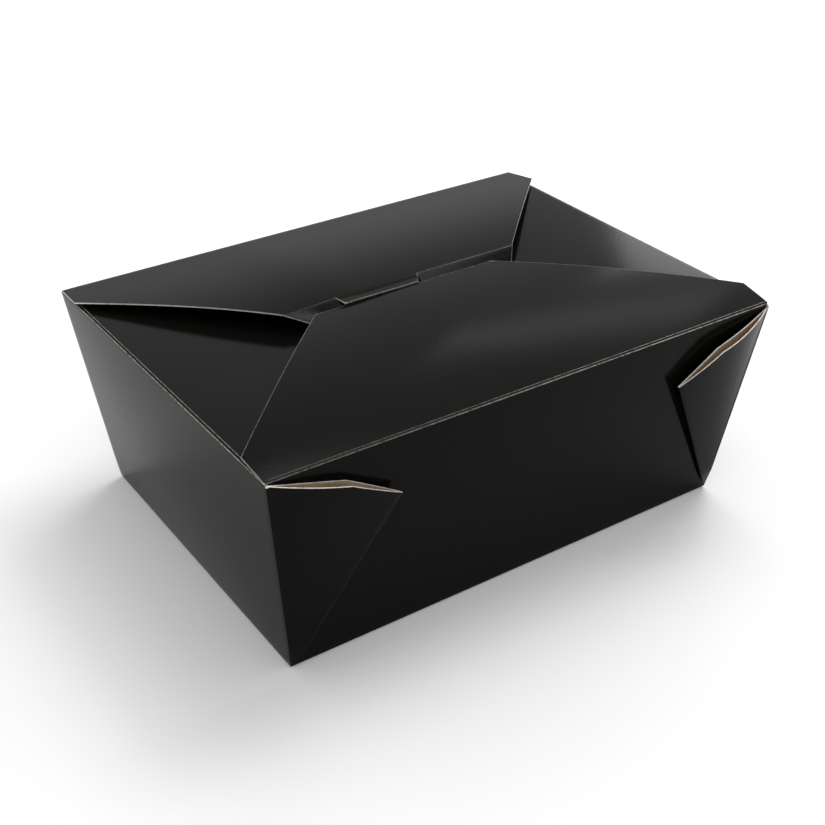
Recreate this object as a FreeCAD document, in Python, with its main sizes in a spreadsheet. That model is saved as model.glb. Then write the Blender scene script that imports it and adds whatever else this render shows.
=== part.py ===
import FreeCAD, Part
import math
import os
import Sketcher

# Takeout carton folded from one sheet of coated board.
# The long side runs along X, the front wall faces -Y, and Z points up.
# The origin is the middle of the bottom, on the surface that the carton stands on.
# Lengths are in millimetres and angles in degrees.

Vector = FreeCAD.Vector

SIZES = {
    # The tray: outer size at the bottom and at the mouth, and the height of the top creases.
    "base_length": 197.4,
    "base_width": 142.6,
    "mouth_length": 218.0,
    "mouth_width": 162.0,
    "crease_height": 86.0,
    "board": 0.45,
    # The front flap: from the front crease to its free edge, arched a little above its chord.
    "front_reach": 83.5,
    "front_rise": 3.4,
    "front_bow": 2.2,
    "front_shoulder": 14.7,
    "front_edge": 81.2,
    "shoulder_flare": 1.0,
    # Room round the fold that the front flap swings about.
    "hinge_gap": 0.3,
    # The back flap: its crease lies behind and above the front flap's free edge.
    "lock_lead": 4.3,
    "lock_step": 1.7,
    "back_bow": 3.4,
    "back_shoulder": 16.8,
    "back_crease": 105.8,
    # The strip beyond that crease is tucked under the front flap.
    "strip_width": 12.3,
    "strip_edge": 82.0,
    "lock_gap": 0.4,
    # The tongue is cut out of the strip and stays in line with the back flap.
    "tongue_width": 35.0,
    "tongue_offset": -11.7,
    "tongue_droop": 14.0,
    "tongue_gap": 0.35,
    # The side flaps lie under both closing flaps.
    "side_reach": 75.0,
    "side_edge": 60.0,
    "side_setback": 5.0,
    # The corner webs: two layers folded onto the outside of the long walls, open at the top.
    "gusset_start": 1.0,
    "gusset_drop": 1.8,
    "kink_over": 28.3,
    "kink_drop": 10.1,
    "tip_over": 48.0,
    "tip_drop": 20.4,
    "inner_stand": 1.1,
    "tip_stand": 5.9,
    "mouth_gap": 4.5,
}

doc = FreeCAD.newDocument("TakeoutCarton")

sheet = doc.addObject("Spreadsheet::Sheet", "Sizes")
for row, (alias, value) in enumerate(SIZES.items(), start=1):
    sheet.set(f"A{row}", alias)
    sheet.set(f"B{row}", str(value))
    sheet.setAlias(f"B{row}", alias)
doc.recompute()

# Places that several pieces share, written once as expressions on the sheet.
HALF_BOARD = "Sizes.board / 2"
WALL_TOP = f"(Sizes.crease_height - {HALF_BOARD})"
SIDE_X = "Sizes.mouth_length / 2"
FRONT_Y = "-Sizes.mouth_width / 2"
BACK_Y = "Sizes.mouth_width / 2"
SHOULDER_X = f"({SIDE_X} + Sizes.shoulder_flare)"
EDGE_Y = f"({FRONT_Y} + Sizes.front_reach)"
EDGE_Z = "(Sizes.crease_height + Sizes.front_rise)"
LOCK_Y = f"({EDGE_Y} + Sizes.lock_lead)"
LOCK_Z = f"({EDGE_Z} + Sizes.lock_step)"
STRIP_SLOPE = "((Sizes.lock_step + Sizes.board + Sizes.lock_gap) / Sizes.lock_lead)"
STRIP_ANGLE = f"atan({STRIP_SLOPE})"
STRIP_END_Y = f"({LOCK_Y} - Sizes.strip_width * cos({STRIP_ANGLE}))"
STRIP_END_Z = f"({LOCK_Z} - Sizes.strip_width * sin({STRIP_ANGLE}))"


def size(expression):
    """The number that an expression on the sheet gives."""
    value = sheet.evalExpression(expression)
    return float(getattr(value, "Value", value))


def pin(sketch, element, point, place):
    """Holds one point of a sketch at a place given by two expressions."""
    for kind, expression in zip(("DistanceX", "DistanceY"), place):
        index = sketch.addConstraint(
            Sketcher.Constraint(kind, -1, 1, element, point, size(expression))
        )
        sketch.setExpression(f"Constraints[{index}]", expression)


def draw_outline(sketch, corners):
    """A closed outline of straight lines through corners given by expressions."""
    points = [Vector(size(x), size(y), 0) for x, y in corners]
    for number, start in enumerate(points):
        end = points[(number + 1) % len(points)]
        sketch.addGeometry(Part.LineSegment(start, end), False)
    for number, corner in enumerate(corners):
        before = (number - 1) % len(corners)
        sketch.addConstraint(Sketcher.Constraint("Coincident", before, 2, number, 1))
        pin(sketch, number, 1, corner)


def draw_bowed_board(sketch, low, high, bow):
    """The section of a board that arches above the chord between two places.

    The top face is an arc of radius (c * c / 4 + b * b) / (2 * b) for a chord c and a bow b.
    The underside is an arc about the same centre, one board thickness smaller.
    """
    chord_squared = f"(({high[0]} - {low[0]})^2 + ({high[1]} - {low[1]})^2)"
    radius = f"(({chord_squared} / 4 + {bow}^2) / (2 * {bow}))"
    left, right = sorted((low, high), key=lambda place: size(place[0]))
    start = Vector(size(left[0]), size(left[1]), 0)
    end = Vector(size(right[0]), size(right[1]), 0)
    chord = end - start
    outer = size(radius)
    inner = outer - size("Sizes.board")
    upward = Vector(-chord.y, chord.x, 0).normalize()
    centre = (start + end) / 2 + upward * (size(bow) - outer)
    half_turn = math.asin(chord.Length / 2 / outer)
    middle = math.atan2(upward.y, upward.x)
    span = (middle - half_turn, middle + half_turn)
    normal = Vector(0, 0, 1)
    top = sketch.addGeometry(Part.ArcOfCircle(Part.Circle(centre, normal, outer), *span), False)
    under = sketch.addGeometry(Part.ArcOfCircle(Part.Circle(centre, normal, inner), *span), False)
    ends = []
    for angle in span:
        along = Vector(math.cos(angle), math.sin(angle), 0)
        line = Part.LineSegment(centre + along * outer, centre + along * inner)
        ends.append(sketch.addGeometry(line, False))
    pin(sketch, top, 1, right)
    pin(sketch, top, 2, left)
    for arc, value in ((top, radius), (under, f"{radius} - Sizes.board")):
        index = sketch.addConstraint(Sketcher.Constraint("Radius", arc, size(value)))
        sketch.setExpression(f"Constraints[{index}]", value)
    sketch.addConstraint(Sketcher.Constraint("Coincident", under, 3, top, 3))
    for point, line in enumerate(ends, start=1):
        sketch.addConstraint(Sketcher.Constraint("Perpendicular", line, 1, top, point))
        sketch.addConstraint(Sketcher.Constraint("Coincident", line, 2, under, point))


def extrusion(name, sketch, length, centred=False):
    """A solid made by pushing a sketch along its own normal."""
    solid = doc.addObject("Part::Extrusion", name)
    solid.Base = sketch
    solid.DirMode = "Normal"
    solid.Solid = True
    solid.Symmetric = centred
    solid.setExpression("LengthFwd", length)
    return solid


def common(name, first, second):
    """The room that two solids share."""
    result = doc.addObject("Part::MultiCommon", name)
    result.Shapes = [first, second]
    return result


# Sketches in this plane show Y to the right and Z up.
CROSS_SECTION = FreeCAD.Rotation(Vector(1, 1, 1), 120)


def section_sketch(name):
    """A sketch of the carton's cross section."""
    sketch = doc.addObject("Sketcher::SketchObject", name)
    sketch.Placement = FreeCAD.Placement(Vector(0, 0, 0), CROSS_SECTION)
    return sketch


def plan_cutter(name, corners):
    """A tall solid over an outline seen from above, which trims what stands in it."""
    sketch = doc.addObject("Sketcher::SketchObject", f"{name}Outline")
    draw_outline(sketch, corners)
    return extrusion(name, sketch, "2 * Sizes.crease_height")


# The tray: four walls that lean outwards, and the bottom.
tray = doc.addObject("PartDesign::Body", "Tray")
ground = next(plane for plane in tray.Origin.OriginFeatures if plane.Role == "XY_Plane")


def tray_rectangle(name, half_length, half_width, height):
    """A rectangle about the middle of the tray, in a level plane at a height."""
    sketch = tray.newObject("Sketcher::SketchObject", name)
    sketch.AttachmentSupport = [(ground, "")]
    sketch.MapMode = "FlatFace"
    sketch.setExpression("AttachmentOffset.Base.z", height)
    draw_outline(sketch, [
        (f"-({half_length})", f"-({half_width})"),
        (half_length, f"-({half_width})"),
        (half_length, half_width),
        (f"-({half_length})", half_width),
    ])
    return sketch


def tray_loft(kind, name, lower, upper):
    """A loft of the tray between two of its rectangles."""
    loft = tray.newObject(kind, name)
    loft.Profile = lower
    loft.Sections = [upper]
    loft.Ruled = True
    return loft


tray_loft(
    "PartDesign::AdditiveLoft", "Walls",
    tray_rectangle("BaseOutside", "Sizes.base_length / 2", "Sizes.base_width / 2", "0"),
    tray_rectangle("MouthOutside", SIDE_X, BACK_Y, WALL_TOP),
)
tray_loft(
    "PartDesign::SubtractiveLoft", "Hollow",
    tray_rectangle("BaseInside", "Sizes.base_length / 2 - Sizes.board",
                   "Sizes.base_width / 2 - Sizes.board", "Sizes.board"),
    tray_rectangle("MouthInside", f"{SIDE_X} - Sizes.board", f"{BACK_Y} - Sizes.board", WALL_TOP),
)

# The front of the rim is lower, so that the front flap's fold has room above it.
rim = tray.newObject("Sketcher::SketchObject", "FrontRim")
rim.AttachmentSupport = [(ground, "")]
rim.MapMode = "FlatFace"
rim.setExpression("AttachmentOffset.Base.z", WALL_TOP)
draw_outline(rim, [
    (f"-{SHOULDER_X}", f"{FRONT_Y} - Sizes.side_setback"),
    (SHOULDER_X, f"{FRONT_Y} - Sizes.side_setback"),
    (SHOULDER_X, f"{FRONT_Y} + Sizes.side_setback"),
    (f"-{SHOULDER_X}", f"{FRONT_Y} + Sizes.side_setback"),
])
rim_cut = tray.newObject("PartDesign::Pocket", "FrontRimCut")
rim_cut.Profile = rim
rim_cut.setExpression("Length", "Sizes.hinge_gap")
tray.Tip = rim_cut

# The front flap: it swings about the front crease.
front_section = section_sketch("FrontFlapSection")
draw_bowed_board(
    front_section,
    (f"{FRONT_Y} + Sizes.hinge_gap", f"Sizes.crease_height + {HALF_BOARD}"),
    (EDGE_Y, EDGE_Z),
    "Sizes.front_bow",
)
front_flap = common(
    "FrontFlap",
    extrusion("FrontFlapBoard", front_section, f"2 * {SHOULDER_X}", centred=True),
    plan_cutter("FrontFlapPlan", [
        (f"-{SIDE_X}", FRONT_Y),
        (SIDE_X, FRONT_Y),
        (SHOULDER_X, f"{FRONT_Y} + Sizes.front_shoulder"),
        ("Sizes.front_edge / 2", EDGE_Y),
        ("-Sizes.front_edge / 2", EDGE_Y),
        (f"-{SHOULDER_X}", f"{FRONT_Y} + Sizes.front_shoulder"),
    ]),
)
front_flap.Label = "front_flap"

# The back flap, arched more than the front one, as far as its crease.
back_section = section_sketch("BackFlapSection")
draw_bowed_board(
    back_section,
    (BACK_Y, "Sizes.crease_height"),
    (LOCK_Y, LOCK_Z),
    "Sizes.back_bow",
)
back_board = extrusion("BackFlapBoard", back_section, f"2 * {SHOULDER_X}", centred=True)


def crease_plate(name, width, length, angle, offset):
    """A flat plate that goes forwards and down from the back flap's crease."""
    plate = doc.addObject("Part::Box", name)
    plate.setExpression("Length", width)
    plate.setExpression("Width", length)
    plate.setExpression("Height", "Sizes.board")
    plate.Placement.Rotation = FreeCAD.Rotation(Vector(1, 0, 0), 1)
    plate.setExpression("Placement.Rotation.Angle", angle)
    plate.setExpression("Placement.Base.x", f"{offset} - {width} / 2")
    plate.setExpression(
        "Placement.Base.y",
        f"{LOCK_Y} - {length} * cos({angle}) + Sizes.board * sin({angle})",
    )
    plate.setExpression(
        "Placement.Base.z",
        f"{LOCK_Z} - {length} * sin({angle}) - Sizes.board * cos({angle})",
    )
    return plate


strip = crease_plate("TuckStrip", "Sizes.back_crease", "Sizes.strip_width", STRIP_ANGLE, "0")
back_panel = doc.addObject("Part::MultiFuse", "BackFlapAndStrip")
back_panel.Shapes = [back_board, strip]
back_flap = common(
    "BackFlap",
    back_panel,
    plan_cutter("BackFlapPlan", [
        (f"-{SIDE_X}", BACK_Y),
        (f"-{SHOULDER_X}", f"{BACK_Y} - Sizes.back_shoulder"),
        ("-Sizes.back_crease / 2", LOCK_Y),
        ("-Sizes.strip_edge / 2", f"{STRIP_END_Y} - Sizes.board"),
        ("Sizes.strip_edge / 2", f"{STRIP_END_Y} - Sizes.board"),
        ("Sizes.back_crease / 2", LOCK_Y),
        (SHOULDER_X, f"{BACK_Y} - Sizes.back_shoulder"),
        (SIDE_X, BACK_Y),
    ]),
)

# The tongue stands a tongue_gap behind the front flap's free edge, seen from above.
tongue = crease_plate(
    "Tongue",
    "Sizes.tongue_width",
    "(Sizes.lock_lead - Sizes.tongue_gap) / cos(Sizes.tongue_droop)",
    "Sizes.tongue_droop",
    "Sizes.tongue_offset",
)

# The right side flap slopes down from its crease, so that it passes under the end of the strip.
SIDE_DROOP = (
    f"atan((Sizes.crease_height - {STRIP_END_Z} + Sizes.board + Sizes.lock_gap)"
    f" / ({SIDE_X} - Sizes.strip_edge / 2))"
)
side_outline = doc.addObject("Sketcher::SketchObject", "SideFlapOutline")
side_outline.Placement.Rotation = FreeCAD.Rotation(Vector(0, -1, 0), 1)
side_outline.setExpression("Placement.Rotation.Angle", SIDE_DROOP)
side_outline.setExpression("Placement.Base.x", SIDE_X)
side_outline.setExpression("Placement.Base.z", "Sizes.crease_height - Sizes.board")
draw_outline(side_outline, [
    ("0", f"{FRONT_Y} + Sizes.side_setback"),
    ("0", f"{BACK_Y} - Sizes.side_setback"),
    ("-Sizes.side_reach", "Sizes.side_edge / 2"),
    ("-Sizes.side_reach", "-Sizes.side_edge / 2"),
])
side_flap = extrusion("RightSideFlap", side_outline, "Sizes.board")


def mirrored(name, source, direction):
    """A copy of a solid on the other side of the carton's middle plane."""
    copy = doc.addObject("Part::Mirroring", name)
    copy.Source = source
    copy.Normal = direction
    return copy


# The front left corner web, folded flat against the outside of the front wall.
def gusset_shape():
    """Two layers of board that share the fold from the bottom corner out to the tip.

    Places are measured from the top corner, over along the wall and down it, and by how far they
    stand off the wall. Each layer is bent once, from the bottom corner to the kink in its top edge.
    """
    height = size("Sizes.crease_height")
    board = size("Sizes.board")
    inset = Vector(board / 2, board / 2, 0)
    bottom_corner = Vector(-size("Sizes.base_length") / 2, -size("Sizes.base_width") / 2, 0)
    top_corner = Vector(-size(SIDE_X), size(FRONT_Y), height)
    corner_fold = top_corner - bottom_corner

    def on_wall(over, drop, stand):
        share = (height - drop) / height
        wall_y = bottom_corner.y + corner_fold.y * share
        return Vector(top_corner.x + over, wall_y - stand, height - drop)

    def layer(outline, middle):
        """A triangle of board that grows from its outer face towards the pocket's middle."""
        first, second, third = outline
        normal = (second - first).cross(third - first).normalize()
        if normal.dot(middle - first) < 0:
            normal = -normal
        return Part.Face(Part.makePolygon([first, second, third, first])).extrude(normal * board)

    start = bottom_corner + corner_fold * (size("Sizes.gusset_start") / height) + inset
    top = bottom_corner + corner_fold * (1 - size("Sizes.gusset_drop") / height) + inset
    kink = (size("Sizes.kink_over"), size("Sizes.kink_drop"))
    inner_kink = on_wall(*kink, size("Sizes.inner_stand"))
    outer_kink = on_wall(*kink, size("Sizes.inner_stand") + size("Sizes.mouth_gap"))
    tip = on_wall(size("Sizes.tip_over"), size("Sizes.tip_drop"), size("Sizes.tip_stand"))
    middle = (inner_kink + outer_kink) / 2
    layers = []
    for kink_place in (inner_kink, outer_kink):
        layers.append(layer((start, kink_place, top), middle))
        layers.append(layer((start, tip, kink_place), middle))
    return layers[0].multiFuse(layers[1:])


front_left_gusset = doc.addObject("Part::Feature", "FrontLeftGusset")
front_left_gusset.Shape = gusset_shape()
front_left_gusset.Placement = FreeCAD.Placement()

ALONG = Vector(1, 0, 0)
ACROSS = Vector(0, 1, 0)
front_right_gusset = mirrored("FrontRightGusset", front_left_gusset, ALONG)
back_left_gusset = mirrored("BackLeftGusset", front_left_gusset, ACROSS)
back_right_gusset = mirrored("BackRightGusset", front_right_gusset, ACROSS)

# Everything apart from the front flap is one folded sheet.
carton = doc.addObject("Part::MultiFuse", "Carton")
carton.Shapes = [
    tray,
    back_flap,
    tongue,
    side_flap,
    mirrored("LeftSideFlap", side_flap, ALONG),
    front_left_gusset,
    front_right_gusset,
    back_left_gusset,
    back_right_gusset,
]
carton.Label = "carton"

doc.recompute()

for item in doc.Objects:
    if {"Invalid", "Error"} & set(item.State):
        raise RuntimeError(f"{item.Label} did not build: {item.State}")

os.makedirs("parts", exist_ok=True)
for item in (carton, front_flap):
    shape = item.Shape
    if shape.isNull() or not shape.isValid() or len(shape.Solids) != 1:
        raise RuntimeError(f"{item.Label} is not one sound solid")
    box = shape.BoundBox
    print(f"{item.Label}: {shape.Volume:.1f} mm3, {len(shape.Faces)} faces, "
          f"{box.XLength:.1f} x {box.YLength:.1f} x {box.ZLength:.1f} mm from z {box.ZMin:.2f}")
    shape.exportStep(f"parts/{item.Label}.step")
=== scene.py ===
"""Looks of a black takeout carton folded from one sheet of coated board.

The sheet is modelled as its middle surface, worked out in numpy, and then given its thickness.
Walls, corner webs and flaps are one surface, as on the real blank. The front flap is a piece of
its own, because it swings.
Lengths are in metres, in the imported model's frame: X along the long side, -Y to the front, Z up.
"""

import logging
import math
from dataclasses import dataclass, field, replace
from enum import Enum

import bmesh
import bpy
import numpy as np
from mathutils import Matrix, Vector


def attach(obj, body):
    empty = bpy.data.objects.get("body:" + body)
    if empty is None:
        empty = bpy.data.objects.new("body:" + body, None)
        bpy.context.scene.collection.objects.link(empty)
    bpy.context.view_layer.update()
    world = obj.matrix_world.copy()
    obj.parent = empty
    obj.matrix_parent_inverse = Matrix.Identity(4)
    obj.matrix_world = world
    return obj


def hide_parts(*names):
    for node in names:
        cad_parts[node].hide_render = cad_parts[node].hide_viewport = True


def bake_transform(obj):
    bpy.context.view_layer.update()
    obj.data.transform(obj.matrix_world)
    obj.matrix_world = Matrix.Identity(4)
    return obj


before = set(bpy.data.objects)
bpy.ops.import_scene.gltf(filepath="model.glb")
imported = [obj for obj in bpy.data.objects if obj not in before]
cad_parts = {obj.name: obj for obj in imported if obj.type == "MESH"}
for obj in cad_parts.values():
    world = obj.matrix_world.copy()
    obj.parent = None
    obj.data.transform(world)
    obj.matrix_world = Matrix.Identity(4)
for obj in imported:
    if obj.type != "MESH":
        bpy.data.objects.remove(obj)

Pair = tuple[float, float]
Triple = tuple[float, float, float]
Colour = tuple[float, float, float, float]
Range = tuple[float, float, float, float]
Lengths = np.ndarray | float
Socket = bpy.types.NodeSocket
Feed = Socket | float | Colour

LOG = logging.getLogger("takeout_carton")
MM = 0.001
DEG = math.pi / 180
FAR = 99.0  # A distance in millimetres at which no cut edge is near.
MERGE_DISTANCE = 4e-6
SHARP_ANGLE = 50.0 * DEG
FOLD_STEPS = 6
QUARTER_TURN = 0.55  # Length of a cubic's handle, in radii, for a quarter of a circle.
HALF_TURN = 4 / 3  # The same for half a circle.


class Wall(Enum):
    """The four walls: the way round the carton with the outside on the left, and the way in."""

    FRONT = ((-1.0, 0.0), (0.0, 1.0))
    LEFT = ((0.0, 1.0), (1.0, 0.0))
    BACK = ((1.0, 0.0), (0.0, -1.0))
    RIGHT = ((0.0, -1.0), (-1.0, 0.0))

    @property
    def is_long(self) -> bool:
        """Whether this is one of the two long walls."""
        return self in (Wall.FRONT, Wall.BACK)

    def place(self, along: Lengths, inward: Lengths, height: Lengths) -> np.ndarray:
        """Points at distances from the carton's middle.

        Args:
            along: Distances along this wall, its way round.
            inward: Distances inwards, so less than 0 at the wall.
            height: Distances up.

        Returns:
            Points, their three coordinates along the last axis.
        """
        along, inward, height = np.broadcast_arrays(along, inward, height)
        travel, inwards = self.value
        x = along * travel[0] + inward * inwards[0]
        y = along * travel[1] + inward * inwards[1]
        return np.stack([x, y, height], axis=-1)


class Corner(Enum):
    """The four corners: the signs of X and Y, and the long wall that each web is folded onto."""

    FRONT_LEFT = (-1, -1, Wall.FRONT)
    BACK_LEFT = (-1, 1, Wall.BACK)
    BACK_RIGHT = (1, 1, Wall.BACK)
    FRONT_RIGHT = (1, -1, Wall.FRONT)

    def place(self, points: np.ndarray) -> np.ndarray:
        """A front left grid mirrored to this corner, its columns still running the same way round."""
        placed = points * np.array([-self.value[0], -self.value[1], 1.0])
        return placed[:, ::-1] if self.value[0] * self.value[1] < 0 else placed


class Paint(Enum):
    """Material slots of a sheet of board, in order."""

    OUTSIDE = 0
    INSIDE = 1
    CUT_EDGE = 2


@dataclass(frozen=True)
class TraySizes:
    """Sizes of the tray, taken at the outside of the board."""

    base_length: float = 197.4 * MM
    base_width: float = 142.6 * MM
    mouth_length: float = 218.0 * MM
    mouth_width: float = 162.0 * MM
    crease_height: float = 86.0 * MM
    board: float = 0.45 * MM
    crease_radius: float = 0.45 * MM
    base_radius: float = 0.8 * MM
    side_crease_drop: float = 0.5 * MM
    long_bulge: float = 0.4 * MM
    short_bulge: float = 1.3 * MM
    skirt: float = 0.3 * MM

    def lengths(self, wall: Wall) -> Pair:
        """Length of a wall at the bottom and at the mouth."""
        long, short = (self.base_length, self.mouth_length), (self.base_width, self.mouth_width)
        return long if wall.is_long else short

    @property
    def half_fold(self) -> float:
        """Half the width of a top crease on the flat sheet, in millimetres."""
        return self.crease_radius * math.pi / 4 / MM


@dataclass(frozen=True)
class MouthWarp:
    """How far each corner of the mouth has moved from its square place."""

    front_left: Triple = (0.0, 0.0, 0.45 * MM)
    front_right: Triple = (0.7 * MM, 0.0, 0.3 * MM)
    back_left: Triple = (-0.5 * MM, 0.0, -0.3 * MM)
    back_right: Triple = (0.0, 0.0, 0.6 * MM)

    def applied(self, points: np.ndarray, sizes: TraySizes) -> np.ndarray:
        """Points moved by the even mix of the four corners' moves, times their share of the height.

        Args:
            points: Points with their coordinates along the last axis.
            sizes: Sizes of the tray that they belong to.

        Returns:
            The moved points.
        """
        across = np.clip(points[..., 0:1] / sizes.mouth_length + 0.5, 0.0, 1.0)
        along = np.clip(points[..., 1:2] / sizes.mouth_width + 0.5, 0.0, 1.0)
        front = mix(np.array(self.front_left), np.array(self.front_right), across)
        back = mix(np.array(self.back_left), np.array(self.back_right), across)
        climb = np.clip(points[..., 2:] / sizes.crease_height, 0.0, 1.0)
        return points + mix(front, back, along) * climb


@dataclass(frozen=True)
class WebShape:
    """How one folded corner web lies, as two cones about the bottom corner.

    Both layers have the flat outline rim, kink, tip. spread is the angle from the corner edge to
    the diagonal fold, stand the angle by which that fold stands off the wall, hug the power by which
    the inner layer leaves the wall, arch and arch_skew how far the outer layer swells outwards, and
    follow the share of that swelling which the inner layer has too.
    """

    spread: float
    stand: float
    hug: float
    arch: float
    arch_skew: float
    rim: float
    tip_reach: float
    kink: Pair = (28.2 * MM, 72.6 * MM)
    flat_angle: float = 38.9 * DEG
    follow: float = 0.0


@dataclass(frozen=True)
class FlapShape:
    """A flap: its plan outline, in lengths along and inwards from its wall, and its section's curve.

    wear is how far its crease has cracked, sag how far its free edge falls towards the second of
    the two places in sag_from, and end_painted_shade how much painted shade darkens the cut at its
    end, 0 to 1.
    """

    reach_to: float
    edge_height: float
    root_slope: float
    edge_slope: float
    shoulder_depth: float
    shoulder_flare: Pair
    start_corner: float
    end_corner: float
    rows_to_shoulder: int = 8
    rows_to_edge: int = 40
    wear: float = 1.0
    sag: float = 0.0
    sag_from: Pair = (0.0, 41.0 * MM)
    end_painted_shade: float = 0.0


@dataclass(frozen=True)
class StripShape:
    """The tuck strip beyond the back flap's crease, and the tongue cut out of it."""

    width: float = 12.3 * MM
    fold_radius: float = 0.5 * MM
    droop_places: tuple[float, ...] = (-52.0 * MM, -41.0 * MM, 0.0, 54.0 * MM)
    droops: tuple[float, ...] = (24.0, 29.0, 31.0, 34.0)
    start_taper: float = 1.1
    end_taper: float = 0.7
    tongue_crease: Pair = (-30.0 * MM, 6.8 * MM)
    tongue_tip: Pair = (-28.4 * MM, 4.9 * MM)
    tongue_reach: Pair = (4.55 * MM, 4.3 * MM)
    tongue_drop: Pair = (0.9 * MM, 1.2 * MM)
    tongue_columns: tuple[int, int] = (18, 47)
    tongue_rows: int = 6
    slot_depth: float = 4.4 * MM
    slot_rows: int = 3
    deep_rows: int = 6
    wear: Pair = (0.3, 0.55)
    wear_over_fold: tuple[float, ...] = (0.0, 0.7, 1.0, 0.7, 0.2, 0.0)


@dataclass(frozen=True)
class CreaseWear:
    """Lines along a crease where the coating has cracked, in millimetres across from its middle."""

    places: tuple[float, ...] = (0.0, 1.05)
    half_widths: tuple[float, ...] = (0.22, 0.2)
    strengths: tuple[float, ...] = (1.0, 0.75)

    def at(self, distance: np.ndarray) -> np.ndarray:
        """How worn the coating is: an eased bump for each line.

        Args:
            distance: Distances from the middle of the crease, in millimetres.

        Returns:
            The wear at each, 0 to 1, as a column.
        """
        worn = np.zeros_like(distance)
        for place, half_width, strength in zip(self.places, self.half_widths, self.strengths):
            bump = smooth_share(1 - np.abs(distance - place) / half_width)
            worn = np.maximum(worn, strength * bump)
        return worn[:, None]


def smooth_share(share: np.ndarray) -> np.ndarray:
    """Eases a share from 0 to 1 with level ends: 3 s^2 - 2 s^3, held between 0 and 1."""
    held = np.clip(share, 0.0, 1.0)
    return held * held * (3 - 2 * held)


def unit(vectors: np.ndarray) -> np.ndarray:
    """Vectors scaled to length one along the last axis."""
    return vectors / np.linalg.norm(vectors, axis=-1, keepdims=True)


def mix(low: Lengths, high: Lengths, share: Lengths) -> Lengths:
    """Straight mix from low to high by a share."""
    return low + (high - low) * share


def curve_between(
    start: np.ndarray, start_handle: np.ndarray, end: np.ndarray, end_handle: np.ndarray
) -> np.ndarray:
    """Cubic curves between two rows of points, which are the rounded folds of the sheet.

    Each point is the Bezier sum of start, start + start_handle, end - end_handle and end.

    Args:
        start: Points that the curves leave.
        start_handle: Vectors in which they leave, a third of the speed there.
        end: Points that they reach.
        end_handle: Vectors in which they arrive.

    Returns:
        Points shaped (FOLD_STEPS + 1, number of curves, 3).
    """
    share = np.linspace(0.0, 1.0, FOLD_STEPS + 1)[:, None, None]
    back = 1 - share
    first, second = start + start_handle, end - end_handle
    near = back**3 * start + 3 * back**2 * share * first
    return near + 3 * back * share**2 * second + share**3 * end


def arc_offsets(first: float, angle: np.ndarray, radius: float) -> tuple[np.ndarray, np.ndarray]:
    """How far a fold has gone inwards and up: r (sin a0 - sin a) and r (cos a - cos a0)."""
    return radius * (math.sin(first) - np.sin(angle)), radius * (np.cos(angle) - math.cos(first))


def hermite(start: Pair, slopes: Pair, end: Pair, at: np.ndarray) -> np.ndarray:
    """Height of the cubic that has the given heights and slopes at its two ends.

    Args:
        start: Place and height of its first end.
        slopes: Its slope at each end.
        end: Place and height of its second end.
        at: Places to work it out at.

    Returns:
        The heights there.
    """
    span = end[0] - start[0]
    share = (at - start[0]) / span
    rises = (1 + 2 * share) * (1 - share) ** 2 * start[1] + share**2 * (3 - 2 * share) * end[1]
    tilt_start = share * (1 - share) ** 2 * span * slopes[0]
    tilt_end = share**2 * (share - 1) * span * slopes[1]
    return rises + tilt_start + tilt_end


def ray_lengths(rays: np.ndarray, start: np.ndarray, end: np.ndarray) -> np.ndarray:
    """Length at which each flat ray d meets the line from p to q: (p x q) / (d x (q - p)).

    Args:
        rays: Flat unit rays, shaped (number, 2).
        start: First point of the line.
        end: Second point of the line.

    Returns:
        A length for each ray.
    """
    step = end - start
    crossed = start[0] * end[1] - start[1] * end[0]
    return crossed / (rays[:, 0] * step[1] - rays[:, 1] * step[0])


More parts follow.
